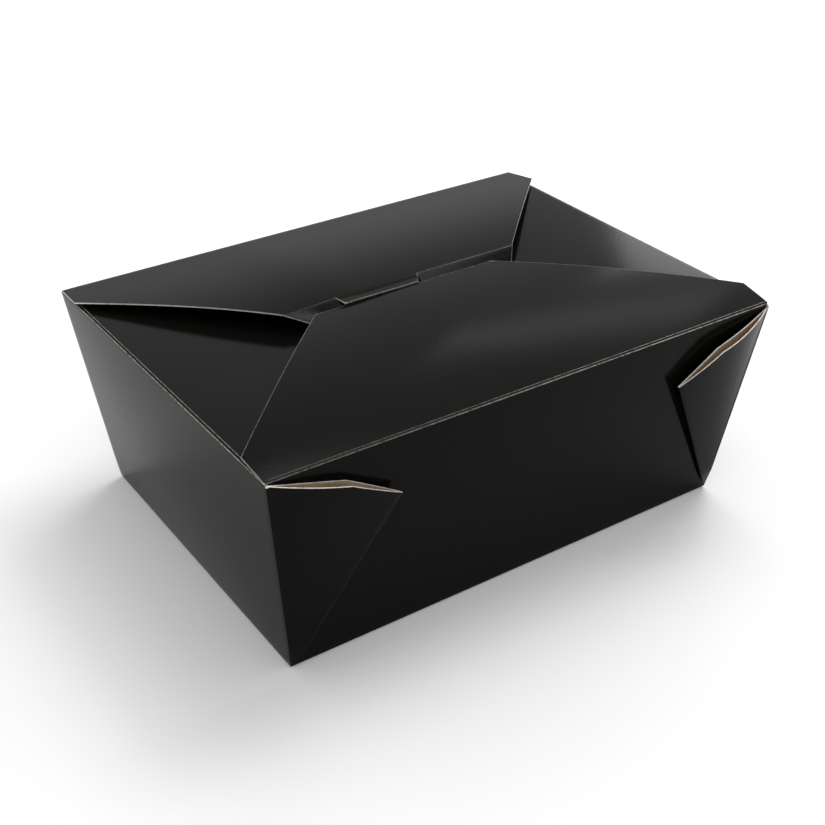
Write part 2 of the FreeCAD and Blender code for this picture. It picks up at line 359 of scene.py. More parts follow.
class SheetSurface:
    """The middle surface of folded board, gathered grid by grid and then given its thickness."""

    def __init__(self, sizes: TraySizes) -> None:
        """Starts an empty surface for a carton of the given sizes."""
        self.sizes = sizes
        self.warp = MouthWarp()
        self.points: list[np.ndarray] = []
        self.marks: list[np.ndarray] = []
        self.quads: list[np.ndarray] = []
        self.count = 0

    def add(
        self, points: np.ndarray, wear: Lengths = 0.0, edge: Lengths = FAR,
        keep: np.ndarray | None = None,
    ) -> None:
        """Adds a grid of points. Rows climb, and columns run with the outside on their left.

        Args:
            points: The grid, shaped (rows, columns, 3).
            wear: How far the coating has cracked, 0 to 1. Less than 0 is painted shade on a cut edge.
            edge: Distance from the nearest cut edge, in millimetres.
            keep: Which quads to make, shaped (rows - 1, columns - 1). All of them if left out.
        """
        rows, columns = points.shape[:2]
        index = np.arange(rows * columns).reshape(rows, columns) + self.count
        around = [index[:-1, :-1], index[1:, :-1], index[1:, 1:], index[:-1, 1:]]
        quads = np.stack(around, axis=-1)
        self.quads.append(quads.reshape(-1, 4) if keep is None else quads[keep])
        self.points.append(self.warp.applied(points, self.sizes).reshape(-1, 3))
        mark = np.empty((rows, columns, 2))
        mark[..., 0], mark[..., 1] = wear, edge
        self.marks.append(mark.reshape(-1, 2))
        self.count += rows * columns

    def middle_mesh(self, name: str) -> bpy.types.Mesh:
        """Joins the grids where their borders meet, with the two marks kept on the points.

        Args:
            name: Name of the mesh.

        Returns:
            The mesh of the middle surface.
        """
        mesh = bpy.data.meshes.new(name)
        quads = np.concatenate(self.quads)
        mesh.from_pydata(np.concatenate(self.points).tolist(), [], quads.tolist())
        marks = np.concatenate(self.marks).astype(np.float32)
        # wear_and_painted_shade holds the creases' crack wear, and below 0 painted shade on cut edges.
        for column, label in enumerate(("wear_and_painted_shade", "edge_distance")):
            values = mesh.attributes.new(label, "FLOAT", "POINT")
            values.data.foreach_set("value", np.ascontiguousarray(marks[:, column]))
        merged = bmesh.new()
        merged.from_mesh(mesh)
        bmesh.ops.remove_doubles(merged, verts=merged.verts, dist=MERGE_DISTANCE)
        loose = [vertex for vertex in merged.verts if not vertex.link_faces]
        bmesh.ops.delete(merged, geom=loose, context="VERTS")
        merged.to_mesh(mesh)
        merged.free()
        return mesh

    def build(self, name: str, finishes: dict[Paint, bpy.types.Material]) -> bpy.types.Object:
        """Makes the sheet: adds the thickness to the middle surface and marks the sharp cut edges.

        Args:
            name: Name of the piece.
            finishes: The material of each side.

        Returns:
            The finished mesh object.
        """
        mesh = self.middle_mesh(name)
        for paint in Paint:
            mesh.materials.append(finishes[paint])
        piece = bpy.data.objects.new(name, mesh)
        bpy.context.scene.collection.objects.link(piece)
        thickness = piece.modifiers.new("board", "SOLIDIFY")
        thickness.thickness = self.sizes.board
        thickness.offset = 0.0
        thickness.material_offset = Paint.INSIDE.value
        thickness.material_offset_rim = Paint.CUT_EDGE.value
        depsgraph = bpy.context.evaluated_depsgraph_get()
        solid = bpy.data.meshes.new_from_object(piece.evaluated_get(depsgraph))
        piece.modifiers.clear()
        piece.data = solid
        bpy.data.meshes.remove(mesh)
        solid.name = name
        solid.shade_smooth()
        solid.set_sharp_from_angle(angle=SHARP_ANGLE)
        return piece


@dataclass
class FoldedTray:
    """Bottom, four walls and four corner webs: one closed band round the carton, on a bottom grid.

    wall_inset is how far a long wall ends short of the corner, side_wrap how far a short one wraps
    the web, side_turn the length of that fold's handles in radii, and settle the share of the height
    over which the folds' own radii open.
    """

    sizes: TraySizes = field(default_factory=TraySizes)
    left_web: WebShape = WebShape(
        spread=37.2 * DEG, stand=3.8 * DEG, hug=3.0, arch=0.024, arch_skew=0.22, rim=85.2 * MM,
        tip_reach=75.0 * MM,
    )
    right_web: WebShape = WebShape(
        spread=34.4 * DEG, stand=4.7 * DEG, hug=1.9, arch=0.046, arch_skew=0.3, rim=84.0 * MM,
        tip_reach=72.4 * MM, kink=(28.0 * MM, 71.8 * MM), follow=0.5,
    )
    long_columns: int = 84
    short_columns: int = 60
    rows: int = 30
    top_rows: Pair = (0.98, 0.992)
    half_layer: int = 9
    fold_radius: float = 0.25 * MM
    side_turn: float = 2.2
    wall_inset: float = 0.75 * MM
    side_wrap: float = 0.6 * MM
    settle: float = 0.12

    @property
    def half(self) -> float:
        """Half the board's thickness."""
        return self.sizes.board / 2

    @property
    def low_height(self) -> float:
        """Height at which the walls leave their bottom fold."""
        return self.half + self.sizes.base_radius

    def half_run(self, wall: Wall, height: float) -> float:
        """Half the length of a wall's middle surface at a height, from corner to corner."""
        low, high = self.sizes.lengths(wall)
        return mix(low, high, height / self.sizes.crease_height) / 2 - self.half

    def half_depth(self, wall: Wall, height: float) -> float:
        """Distance of a wall's middle surface from the carton's middle at a height."""
        return self.half_run(Wall.LEFT if wall.is_long else Wall.FRONT, height)

    def lean(self, wall: Wall) -> float:
        """Angle by which a wall leans outwards."""
        height = self.sizes.crease_height
        return math.atan((self.half_depth(wall, height) - self.half_depth(wall, 0.0)) / height)

    def fold_height(self, wall: Wall) -> float:
        """Height at which a wall's top fold begins."""
        drop = 0.0 if wall.is_long else self.sizes.side_crease_drop
        return self.sizes.crease_height - self.half - self.sizes.crease_radius - drop

    def high_height(self, wall: Wall) -> float:
        """Height at which the tray's own wall ends: the front wall stops a skirt below its fold."""
        return self.fold_height(wall) - (self.sizes.skirt if wall is Wall.FRONT else 0.0)

    def inset(self, wall: Wall) -> float:
        """How far a wall ends short of the corner, which is less than 0 on a short wall."""
        return self.wall_inset if wall.is_long else -self.side_wrap

    def columns(self, wall: Wall) -> int:
        """How many columns of quads a wall has."""
        return self.long_columns if wall.is_long else self.short_columns

    def across(self, wall: Wall) -> np.ndarray:
        """Places of a wall's columns, from -1 to 1."""
        return np.linspace(-1.0, 1.0, self.columns(wall) + 1)

    def climb(self) -> np.ndarray:
        """Shares of the height at which the rows lie, closer together near the top fold."""
        return np.unique(np.concatenate([np.linspace(0.0, 1.0, self.rows), self.top_rows]))

    def settled(self) -> np.ndarray:
        """How far the folds' own radii have opened at each row: nothing at the bottom corner."""
        return smooth_share(self.climb() / self.settle)

    def wall_grid(self, wall: Wall) -> np.ndarray:
        """A wall: rows mixed straight from bottom to top, bulging by 4 v (1 - v) (1 - u^2).

        Args:
            wall: Which wall.

        Returns:
            Points shaped (rows, columns, 3).
        """
        climb, across = self.climb()[:, None], self.across(wall)
        low, high = self.low_height, self.high_height(wall)
        bulge = self.sizes.long_bulge if wall.is_long else self.sizes.short_bulge
        run = mix(self.half_run(wall, low), self.half_run(wall, high), climb)
        run = run - self.settled()[:, None] * self.inset(wall)
        depth = mix(self.half_depth(wall, low), self.half_depth(wall, high), climb)
        depth = depth + bulge * 4 * climb * (1 - climb) * (1 - across**2)
        return wall.place(run * across, -depth, mix(low, high, climb))

    def fold_distance(self, wall: Wall) -> np.ndarray:
        """Distance of each row below the middle of the top fold, in millimetres and less than 0."""
        height = mix(self.low_height, self.high_height(wall), self.climb())
        return (height - self.fold_height(wall)) / math.cos(self.lean(wall)) / MM - self.sizes.half_fold

    def bottom_fold(self, wall: Wall) -> np.ndarray:
        """The rounded fold from the bottom to a wall, mitred where it meets the next one.

        Args:
            wall: Which wall.

        Returns:
            Points shaped (rows, columns, 3).
        """
        radius, across = self.sizes.base_radius, self.across(wall)
        low, high = self.low_height, self.sizes.crease_height
        flat_run = self.half_run(wall, self.half) - radius
        flat_depth = self.half_depth(wall, self.half) - radius
        run, depth = self.half_run(wall, low), self.half_depth(wall, low)
        top_run, top_depth = self.half_run(wall, high), self.half_depth(wall, high)
        inner = wall.place(flat_run * across, -flat_depth, self.half)
        outer = wall.place(run * across, -depth, low)
        leave = wall.place((run - flat_run) * across, flat_depth - depth, 0.0)
        rise = wall.place((top_run - run) * across, depth - top_depth, high - low)
        handle = QUARTER_TURN * radius / (high - low)
        return curve_between(inner, QUARTER_TURN * leave, outer, handle * rise)

    def bottom_grid(self) -> np.ndarray:
        """The flat bottom, its columns those of the walls.

        Returns:
            Points shaped (rows, columns, 3), the rows from front to back.
        """
        flat_x = self.half_run(Wall.FRONT, self.half) - self.sizes.base_radius
        flat_y = self.half_run(Wall.LEFT, self.half) - self.sizes.base_radius
        x, y = flat_x * self.across(Wall.FRONT)[None, :], flat_y * self.across(Wall.LEFT)[:, None]
        return np.stack(np.broadcast_arrays(x, y, self.half), axis=-1)

    def layer_shares(self, shape: WebShape) -> np.ndarray:
        """Shares of a layer's flat angle at its columns, one of them at the outline's kink.

        Args:
            shape: How this web lies.

        Returns:
            Shares from 0 at the corner edge to 1 at the diagonal fold.
        """
        kink = math.atan2(*shape.kink) / shape.flat_angle
        before = np.linspace(0.0, kink, self.half_layer + 1)
        return np.concatenate([before, np.linspace(kink, 1.0, self.half_layer + 1)[1:]])

    def outline_reach(self, shape: WebShape, share: np.ndarray) -> np.ndarray:
        """Length of a layer's rays: where each meets the straight cuts rim to kink and kink to tip.

        Args:
            shape: How this web lies.
            share: Shares of the flat angle.

        Returns:
            A length for each share, as a column.
        """
        angle, flat = share * shape.flat_angle, shape.flat_angle
        rays = np.stack([np.sin(angle), np.cos(angle)], axis=1)
        rim, kink = np.array([0.0, shape.rim]), np.array(shape.kink)
        tip = shape.tip_reach * np.array([math.sin(flat), math.cos(flat)])
        before, beyond = ray_lengths(rays, rim, kink), ray_lengths(rays, kink, tip)
        return np.where(angle <= math.atan2(*shape.kink), before, beyond)[:, None]

    def corner_axes(self) -> tuple[np.ndarray, ...]:
        """The front left corner's own frame.

        Returns:
            The bottom corner, the way up its edge, out of the front wall, and along that wall.
        """
        corner, above = (
            np.array([-self.half_run(Wall.FRONT, height), -self.half_run(Wall.LEFT, height), height])
            for height in (self.low_height, self.sizes.crease_height)
        )
        edge, lean = unit(above - corner), self.lean(Wall.FRONT)
        normal = np.array([0.0, -math.cos(lean), -math.sin(lean)])
        along = unit(np.cross(edge, normal))
        return corner, edge, normal, along * np.sign(along[0])

    def web_rays(self, shape: WebShape, share: np.ndarray) -> tuple[np.ndarray, np.ndarray]:
        """Ways in which the two layers' columns leave the bottom corner.

        In the wall's plane they turn evenly from the corner edge to the diagonal fold. Away from the
        wall the outer layer stands by s plus an arch of 4 s (1 - s), times its share of the height,
        and the inner one by s to the power hug plus its own share of that arch.

        Args:
            shape: How this web lies.
            share: Shares s of the flat angle.

        Returns:
            Unit rays of the inner and the outer layer, shaped (rows, columns, 3).
        """
        _, edge, normal, along = self.corner_axes()
        stand = math.sin(shape.spread) * math.sin(shape.stand)
        full_turn = math.atan2(math.sin(shape.spread) * math.cos(shape.stand), math.cos(shape.spread))
        turn = (share * full_turn)[:, None]
        in_plane = math.sqrt(1 - stand**2) * (np.cos(turn) * edge + np.sin(turn) * along)
        skew = 1 + shape.arch_skew * (1 - 2 * share)
        arch = shape.arch * 4 * share * (1 - share) * skew * self.climb()[:, None]
        inner = stand * share**shape.hug + shape.follow * arch
        outer = stand * share + arch
        return unit(in_plane + inner[..., None] * normal), unit(in_plane + outer[..., None] * normal)

    def web_grid(self, shape: WebShape, long_wall: Wall) -> np.ndarray:
        """A web as the front left one, from its long wall's end round to the short wall's start.

        Each layer is a cone about the bottom corner: a ray for each column, as long as the flat
        outline at that column's angle. The layers lie one and two widths of a fold off the wall.

        Args:
            shape: How this web lies.
            long_wall: The long wall it is folded onto, which sets where the grid ends.

        Returns:
            Points shaped (rows, columns, 3).
        """
        corner, edge, normal, along = self.corner_axes()
        share = self.layer_shares(shape)
        reach = self.outline_reach(shape, share)
        inner_rays, outer_rays = self.web_rays(shape, share)
        outer_rays = outer_rays[:, ::-1]
        climb, opened = self.climb()[:, None], self.settled()[:, None]
        radius, width = self.fold_radius, 2 * self.fold_radius
        inner_off = opened[..., None] * (width * normal + self.wall_inset * along)
        outer_off = opened[..., None] * 2 * width * (normal + along)
        inner = corner + climb[..., None] * reach * inner_rays + inner_off
        outer = corner + climb[..., None] * reach[::-1] * outer_rays + outer_off
        long_rise, side_rise = (
            (self.high_height(wall) - self.low_height) / edge[2] * edge
            for wall in (long_wall, Wall.LEFT)
        )
        rightwards, backwards = np.array([1.0, 0.0, 0.0]), np.array([0.0, 1.0, 0.0])
        wall_end = corner + climb * long_rise + opened * self.wall_inset * rightwards
        side_start = corner + climb * side_rise - opened * self.side_wrap * backwards
        tight, wide = opened * radius * HALF_TURN, opened * radius * self.side_turn
        (inner_first, inner_last), (outer_first, outer_last) = (
            (unit(rays[:, 1] - rays[:, 0]), unit(rays[:, -1] - rays[:, -2]))
            for rays in (inner_rays, outer_rays)
        )
        folds = (
            curve_between(wall_end, -along * tight, inner[:, 0], inner_first * tight),
            curve_between(inner[:, -1], inner_last * tight, outer[:, 0], outer_first * tight),
            curve_between(outer[:, -1], outer_last * wide, side_start, wide * backwards),
        )
        leave, turn, arrive = (np.swapaxes(fold, 0, 1) for fold in folds)
        bands = [leave, inner[:, 1:], turn[:, 1:], outer[:, 1:], arrive[:, 1:]]
        return np.concatenate(bands, axis=1)

    def add_to(self, sheet: SheetSurface) -> None:
        """Adds the bottom, its folds, the four walls and the four webs to a sheet.

        Args:
            sheet: The sheet that they are part of.
        """
        sheet.add(self.bottom_grid())
        for wall in Wall:
            sheet.add(self.bottom_fold(wall))
            sheet.add(self.wall_grid(wall), CreaseWear().at(self.fold_distance(wall)))
        for corner in Corner:
            shape = self.left_web if corner.value[0] < 0 else self.right_web
            to_rim = (1 - self.climb()[:, None]) * shape.kink[1] / MM
            sheet.add(corner.place(self.web_grid(shape, corner.value[2])), edge=to_rim)


@dataclass
class Flap:
    """One flap of the lid with the rounded crease that joins it to its wall.

    worn_rows are places of extra rows beyond the crease, in millimetres, and cut_share scales the
    distance from the slanted cuts at the flap's ends.
    """

    tray: FoldedTray
    wall: Wall
    shape: FlapShape
    arc_steps: int = 10
    has_free_edge: bool = True
    worn_rows: tuple[float, ...] = (0.35, 0.5, 0.6, 0.7, 0.8, 0.9, 1.0, 1.15)
    cut_share: float = 0.7

    def arc(self) -> np.ndarray:
        """Section of the crease, from the wall's direction to the flap's root slope.

        Returns:
            Points shaped (arc_steps + 1, 2): inwards and up.
        """
        tray, height = self.tray, self.tray.fold_height(self.wall)
        first = math.pi / 2 + tray.lean(self.wall)
        angle = np.linspace(first, self.shape.root_slope, self.arc_steps + 1)
        inward, up = arc_offsets(first, angle, tray.sizes.crease_radius)
        return np.stack([inward - tray.half_depth(self.wall, height), height + up], axis=1)

    def wall_run(self) -> float:
        """Half the length of the wall's middle surface at its fold, from corner to corner."""
        return self.tray.half_run(self.wall, self.tray.fold_height(self.wall))

    def root_run(self) -> float:
        """Half the length of the crease at its wall."""
        return self.wall_run() - self.tray.inset(self.wall)

    def flap_run(self) -> float:
        """Half the length of the crease at the flap: it reaches the very corner."""
        return max(self.root_run(), self.wall_run() + self.tray.half)

    def stations(self) -> np.ndarray:
        """Distances inwards at which the flap's rows lie, one of them at its shoulders.

        Returns:
            The distances, from the crease to the free edge.
        """
        shape, root = self.shape, self.arc()[-1, 0]
        shoulder = root + shape.shoulder_depth
        first = np.linspace(root, shoulder, shape.rows_to_shoulder + 1)
        second = np.linspace(shoulder, shape.reach_to, shape.rows_to_edge + 1)
        worn = root + np.array(self.worn_rows) * MM
        return np.unique(np.concatenate([first, worn, second[1:]]))

    def edge_distance(self, grid: np.ndarray) -> np.ndarray:
        """Distance of each point from the start or the end of its row, in millimetres.

        Args:
            grid: Points shaped (rows, columns, 3).

        Returns:
            Distances shaped (rows, columns).
        """
        start = np.linalg.norm(grid - grid[:, :1], axis=2)
        end = np.linalg.norm(grid - grid[:, -1:], axis=2)
        return np.minimum(start, end) / MM

    def heights(self, stations: np.ndarray) -> np.ndarray:
        """Height of the middle surface at each station: the cubic of the flap's section."""
        shape, slopes = self.shape, (math.tan(self.shape.root_slope), math.tan(self.shape.edge_slope))
        return hermite(tuple(self.arc()[-1]), slopes, (shape.reach_to, shape.edge_height), stations)

    def outline(self, stations: np.ndarray) -> tuple[np.ndarray, np.ndarray]:
        """The straight cuts from root to shoulder to free edge.

        Args:
            stations: Distances inwards of the rows.

        Returns:
            Where each row starts and where it ends along the wall.
        """
        shape, run = self.shape, self.flap_run()
        flare_start, flare_end = shape.shoulder_flare
        places = [stations[0], stations[0] + shape.shoulder_depth, shape.reach_to]
        start = np.interp(stations, places, [-run, -run - flare_start, shape.start_corner])
        end = np.interp(stations, places, [run, run + flare_end, shape.end_corner])
        return start, end

    def column_shares(self, rows: int) -> np.ndarray:
        """Share of the width at which each column lies, for every row: evenly spaced."""
        even = np.linspace(0.0, 1.0, self.tray.columns(self.wall) + 1)
        return np.broadcast_to(even, (rows, even.size))

    def section_grid(self, section: np.ndarray, end_run: float) -> np.ndarray:
        """A section carried along the whole crease, its rows growing evenly to a half length."""
        run = np.linspace(self.root_run(), end_run, len(section))[:, None]
        return self.wall.place(run * self.tray.across(self.wall), section[:, :1], section[:, 1:])

    def flap_grid(self) -> np.ndarray:
        """The flap's own grid, its free edge sagging by an eased share of the way along.

        Returns:
            Points shaped (rows, columns, 3), from the crease to the free edge.
        """
        stations = self.stations()
        start, end = self.outline(stations)
        along = mix(start[:, None], end[:, None], self.column_shares(stations.size))
        grown = (stations - stations[0])[:, None] / (stations[-1] - stations[0])
        low, high = self.shape.sag_from
        fallen = self.shape.sag * grown * smooth_share((along - low) / (high - low))
        return self.wall.place(along, stations[:, None], self.heights(stations)[:, None] - fallen)

    def add_to(self, sheet: SheetSurface) -> None:
        """Adds the crease and the flap to a sheet.

        Args:
            sheet: The sheet that they are part of.
        """
        half_fold, worn = self.tray.sizes.half_fold, CreaseWear()
        crease = self.section_grid(self.arc(), self.flap_run())
        over_crease = worn.at(np.linspace(-half_fold, half_fold, len(crease)))
        sheet.add(crease, self.shape.wear * over_crease, self.edge_distance(crease))
        stations, flap = self.stations(), self.flap_grid()
        over_flap = worn.at(half_fold + (stations - stations[0]) / MM)
        marks = np.repeat(self.shape.wear * over_flap, flap.shape[1], axis=1)
        # Painted shade on the cut at the flap's end.
        marks[:, -1] -= self.shape.end_painted_shade
        free = (self.shape.reach_to - stations)[:, None] / MM if self.has_free_edge else FAR
        sheet.add(flap, marks, np.minimum(self.edge_distance(flap) * self.cut_share, free))


@dataclass
class FrontFlap(Flap):
    """The front flap, which swings: its own sheet, from a skirt of wall below the crease."""

    def add_to(self, sheet: SheetSurface) -> None:
        """Adds the skirt, the crease and the flap to a sheet.

        Args:
            sheet: The sheet that they are part of.
        """
        tray, low = self.tray, self.tray.high_height(self.wall)
        skirt = np.array([[-tray.half_depth(self.wall, low), low], self.arc()[0]])
        grid = self.section_grid(skirt, self.root_run())
        distance = np.array([tray.fold_distance(self.wall)[-1], -tray.sizes.half_fold])
        sheet.add(grid, self.shape.wear * CreaseWear().at(distance), self.edge_distance(grid))
        super().add_to(sheet)

    def swing_line(self) -> tuple[Triple, Triple]:
        """The two points between which the fold bends: at the crease's start, and over its end."""
        arc = self.arc()
        return (0.0, arc[0, 0], arc[0, 1]), (0.0, arc[-1, 0], arc[-1, 1] + self.tray.half)


@dataclass
class BackFlap(Flap):
    """The back flap with its lock crease, the tuck strip beyond it and the tongue cut out of that."""

    strip: StripShape = field(default_factory=StripShape)

    def column_shares(self, rows: int) -> np.ndarray:
        """Even shares at the root, with the tongue's cuts on columns by the lock crease.

        Args:
            rows: How many rows there are.

        Returns:
            Shares shaped (rows, columns).
        """
        shape, count = self.shape, self.tray.columns(self.wall)
        width = shape.end_corner - shape.start_corner
        cuts = [(place - shape.start_corner) / width for place in self.strip.tongue_crease]
        knots = [0, *self.strip.tongue_columns, count]
        shifted = np.interp(np.arange(count + 1), knots, [0.0, *cuts, 1.0])
        even = np.linspace(0.0, 1.0, count + 1)
        return mix(even, shifted, np.linspace(0.0, 1.0, rows)[:, None])

    def droop(self, along: np.ndarray) -> np.ndarray:
        """Angle by which the strip falls at each place along the crease."""
        return np.radians(np.interp(along, self.strip.droop_places, self.strip.droops))

    def lock_grid(self) -> np.ndarray:
        """The lock crease: an arc for each column, from the flap's end slope to the strip's droop.

        Returns:
            Points shaped (rows, columns, 3).
        """
        crease, first = self.flap_grid()[-1], self.shape.edge_slope
        share = np.linspace(0.0, 1.0, len(self.strip.wear_over_fold))[:, None]
        angle = mix(first, -self.droop(crease[:, 0]), share)
        inward, up = arc_offsets(first, angle, self.strip.fold_radius)
        return crease + self.wall.place(0.0, inward, up)

    def strip_grid(self) -> tuple[np.ndarray, np.ndarray]:
        """The tuck strip, straight down its droop, and which of its quads the tongue leaves.

        Returns:
            Points, and the quads to keep.
        """
        strip, start = self.strip, self.lock_grid()[-1]
        beside = np.linspace(0.0, strip.slot_depth, strip.slot_rows + 1)
        below = np.linspace(strip.slot_depth, strip.width, strip.deep_rows + 1)[1:]
        run = np.concatenate([beside, below])[:, None]
        fall, share = self.droop(start[:, 0]), self.column_shares(2)[-1]
        taper = mix(strip.start_taper, -strip.end_taper, share) * np.abs(1 - 2 * share)
        shift = self.wall.place(run * taper, run * np.cos(fall), -run * np.sin(fall))
        keep = np.ones((run.size - 1, share.size - 1), bool)
        keep[:strip.slot_rows, slice(*strip.tongue_columns)] = False
        return start + shift, keep

    def tongue_grid(self) -> np.ndarray:
        """The tongue: straight on from the crease, narrowing, and falling as its share squared.

        Its height is root + slope s - (drop + slope) s^2, slope being the flap's own over its reach.

        Returns:
            Points shaped (rows, columns, 3).
        """
        strip = self.strip
        first, last = strip.tongue_columns
        root = self.flap_grid()[-1, first:last + 1]
        ends = (strip.tongue_tip, strip.tongue_reach, strip.tongue_drop)
        tip, reach, drop = (np.linspace(*pair, len(root)) for pair in ends)
        share = np.linspace(0.0, 1.0, strip.tongue_rows + 1)[:, None]
        slope = math.tan(self.shape.edge_slope) * reach
        height = root[:, 2] + slope * share - (drop + slope) * share**2
        inward = self.shape.reach_to + share * reach
        return self.wall.place(mix(root[:, 0], tip, share), inward, height)

    def add_to(self, sheet: SheetSurface) -> None:
        """Adds the crease, the flap, its lock crease, the strip and the tongue to a sheet.

        The cut beside the tongue is given a mark below 0, which the cut edge's finish turns into
        painted shade.

        Args:
            sheet: The sheet that they are part of.
        """
        super().add_to(sheet)
        first, last = self.strip.tongue_columns
        lock = self.lock_grid()
        uncut = np.ones((lock.shape[0] - 1, lock.shape[1] - 1), bool)
        uncut[:, first:last] = False
        along = np.linspace(*self.strip.wear, lock.shape[1])
        worn = np.array(self.strip.wear_over_fold)[:, None] * along
        sheet.add(lock, worn, self.edge_distance(lock), uncut)
        strip, kept = self.strip_grid()
        painted_shade_mark = np.zeros(strip.shape[:2])
        # Painted shade on the strip's cut beside the tongue.
        painted_shade_mark[:self.strip.slot_rows + 1, last] = -1.0
        sheet.add(strip, painted_shade_mark, self.edge_distance(strip) * self.cut_share, kept)
        tongue = self.tongue_grid()
        tip = np.linalg.norm(tongue - tongue[-1:], axis=2) / MM
        sheet.add(tongue, 0.0, np.minimum(self.edge_distance(tongue), tip))


class NodeGraph:
    """A material's node tree, filled in by short calls."""

    def __init__(self, name: str) -> None:
        """Makes a material with its usual shader and the object's own coordinates."""
        self.material = bpy.data.materials.new(name)
        self.material.use_nodes = True
        self.tree = self.material.node_tree
        self.shader = self.tree.nodes["Principled BSDF"]
        self.place = self.add("ShaderNodeTexCoord").outputs["Object"]

    def add(
        self, kind: str, inputs: dict[str | int, Feed] | None = None, **settings: str | bool
    ) -> bpy.types.Node:
        """Adds a node.

        Args:
            kind: Blender's name for the node.
            inputs: Values or sockets for its inputs, by name or number.
            **settings: Properties of the node.

        Returns:
            The node.
        """
        node = self.tree.nodes.new(kind)
        for name, value in settings.items():
            setattr(node, name, value)
        for name, value in (inputs or {}).items():
            self.feed(node.inputs[name], value)
        return node

    def feed(self, socket: Socket, value: Feed) -> None:
        """Links a socket to an input, or sets the input's own value.

        Args:
            socket: The input.
            value: What it is given.
        """
        if isinstance(value, Socket):
            self.tree.links.new(value, socket)
        else:
            socket.default_value = value

    def dress(self, **inputs: Feed) -> bpy.types.Material:
        """Feeds the shader's inputs, named with _ for a space, and returns the material.

        Args:
            **inputs: Values or sockets for its inputs.

        Returns:
            The material.
        """
        for name, value in inputs.items():
            self.feed(self.shader.inputs[name.replace("_", " ")], value)
        return self.material

    def math(
        self, operation: str, first: Feed, second: Feed = 0.0, third: Feed = 0.0, clamp: bool = False
    ) -> Socket:
        """The result of a Math node."""
        inputs = {0: first, 1: second, 2: third}
        return self.add("ShaderNodeMath", inputs, operation=operation, use_clamp=clamp).outputs[0]

    def noise(self, scale: float, detail: float = 2.0, place: Socket | None = None) -> Socket:
        """The value of a noise texture on the object's coordinates."""
        inputs = {"Vector": place or self.place, "Scale": scale, "Detail": detail}
        return self.add("ShaderNodeTexNoise", inputs).outputs["Fac"]

    def ramp(
        self, value: Feed, low: float, high: float, to_low: float = 0.0, to_high: float = 1.0
    ) -> Socket:
        """A value eased from one range into another, and held at its ends."""
        inputs = {
            "Value": value, "From Min": low, "From Max": high, "To Min": to_low, "To Max": to_high,
        }
        node = self.add("ShaderNodeMapRange", inputs, interpolation_type="SMOOTHSTEP")
        return node.outputs["Result"]

    def blend(self, share: Feed, first: Feed, second: Feed) -> Socket:
        """A mix of two colours.

        Args:
            share: Share of the second one.
            first: First colour.
            second: Second colour.

        Returns:
            The mixed colour.
        """
        node = self.add("ShaderNodeMix", {"Factor": share}, data_type="RGBA")
        colours = [socket for socket in node.inputs if socket.type == "RGBA"]
        self.feed(colours[0], first)
        self.feed(colours[1], second)
        return next(socket for socket in node.outputs if socket.type == "RGBA")

    def bump(self, height: Socket, depth: float) -> Socket:
        """A normal bent by a height."""
        return self.add("ShaderNodeBump", {"Height": height, "Distance": depth}).outputs[0]

    def attribute(self, name: str) -> Socket:
        """A number kept on the mesh."""
        return self.add("ShaderNodeAttribute", attribute_name=name).outputs["Fac"]


@dataclass(frozen=True)
class CoatedBlack:
    """Black coated side: satin, with a fine skin of bumps, cracked along creases and bare at cuts.

    bare_roughness is what bare board adds to the roughness. Each range eases its first two values
    into its last two. crack_range is that of a noise, crack_painted_light_by_place that of X into
    painted light that whitens the cracks towards the right, where the lamps stand, chip_range that
    of a noise into the width of the chipped band in millimetres, and chip_share that of a chip's
    closeness to the cut.
    """

    colour: Colour = (0.0042, 0.0038, 0.0033, 1.0)
    bare_colour: Colour = (0.50, 0.47, 0.43, 1.0)
    roughness: float = 0.14
    bare_roughness: float = 0.5
    specular: float = 0.043
    peel_scale: float = 850.0
    peel_depth: float = 0.018 * MM
    crack_scale: float = 700.0
    crack_range: Range = (0.3, 0.62, 0.35, 1.0)
    # Painted light: the cracks grow whiter towards the right, where the lamps stand.
    crack_painted_light_by_place: Range = (-0.11, 0.07, 0.36, 0.95)
    chip_scale: float = 900.0
    chip_range: Range = (0.3, 0.7, 0.1, 0.24)
    chip_share: Range = (0.0, 0.5, 0.0, 0.45)

    def material(self) -> bpy.types.Material:
        """Builds the material.

        Returns:
            The material.
        """
        graph = NodeGraph("coated_black")
        bare = graph.math("MAXIMUM", self.cracks(graph), self.chips(graph))
        return graph.dress(
            Base_Color=graph.blend(bare, self.colour, self.bare_colour),
            Roughness=graph.math("MULTIPLY_ADD", bare, self.bare_roughness, self.roughness),
            Specular_IOR_Level=self.specular,
            Normal=graph.bump(graph.noise(self.peel_scale), self.peel_depth),
        )

    def cracks(self, graph: NodeGraph) -> Socket:
        """Share of bare board along the creases: patchy, and whiter towards the right end, which is
        painted light from the lamps on that side.

        Args:
            graph: The material's nodes.

        Returns:
            The share.
        """
        patchy = graph.ramp(graph.noise(self.crack_scale, 4.0), *self.crack_range)
        across = graph.add("ShaderNodeSeparateXYZ", {0: graph.place}).outputs["X"]
        worn = graph.math("MULTIPLY", graph.attribute("wear_and_painted_shade"), patchy)
        # Painted light along X: the cracks whiter towards the right.
        return graph.math("MULTIPLY", worn, graph.ramp(across, *self.crack_painted_light_by_place), clamp=True)

    def chips(self, graph: NodeGraph) -> Socket:
        """Share of bare board along the cut edges, where the knife has chipped the coating.

        Args:
            graph: The material's nodes.

        Returns:
            The share.
        """
        ragged = graph.ramp(graph.noise(self.chip_scale, 3.0), *self.chip_range)
        distance = graph.math("DIVIDE", graph.attribute("edge_distance"), ragged)
        return graph.ramp(graph.math("SUBTRACT", 1.0, distance, clamp=True), *self.chip_share)


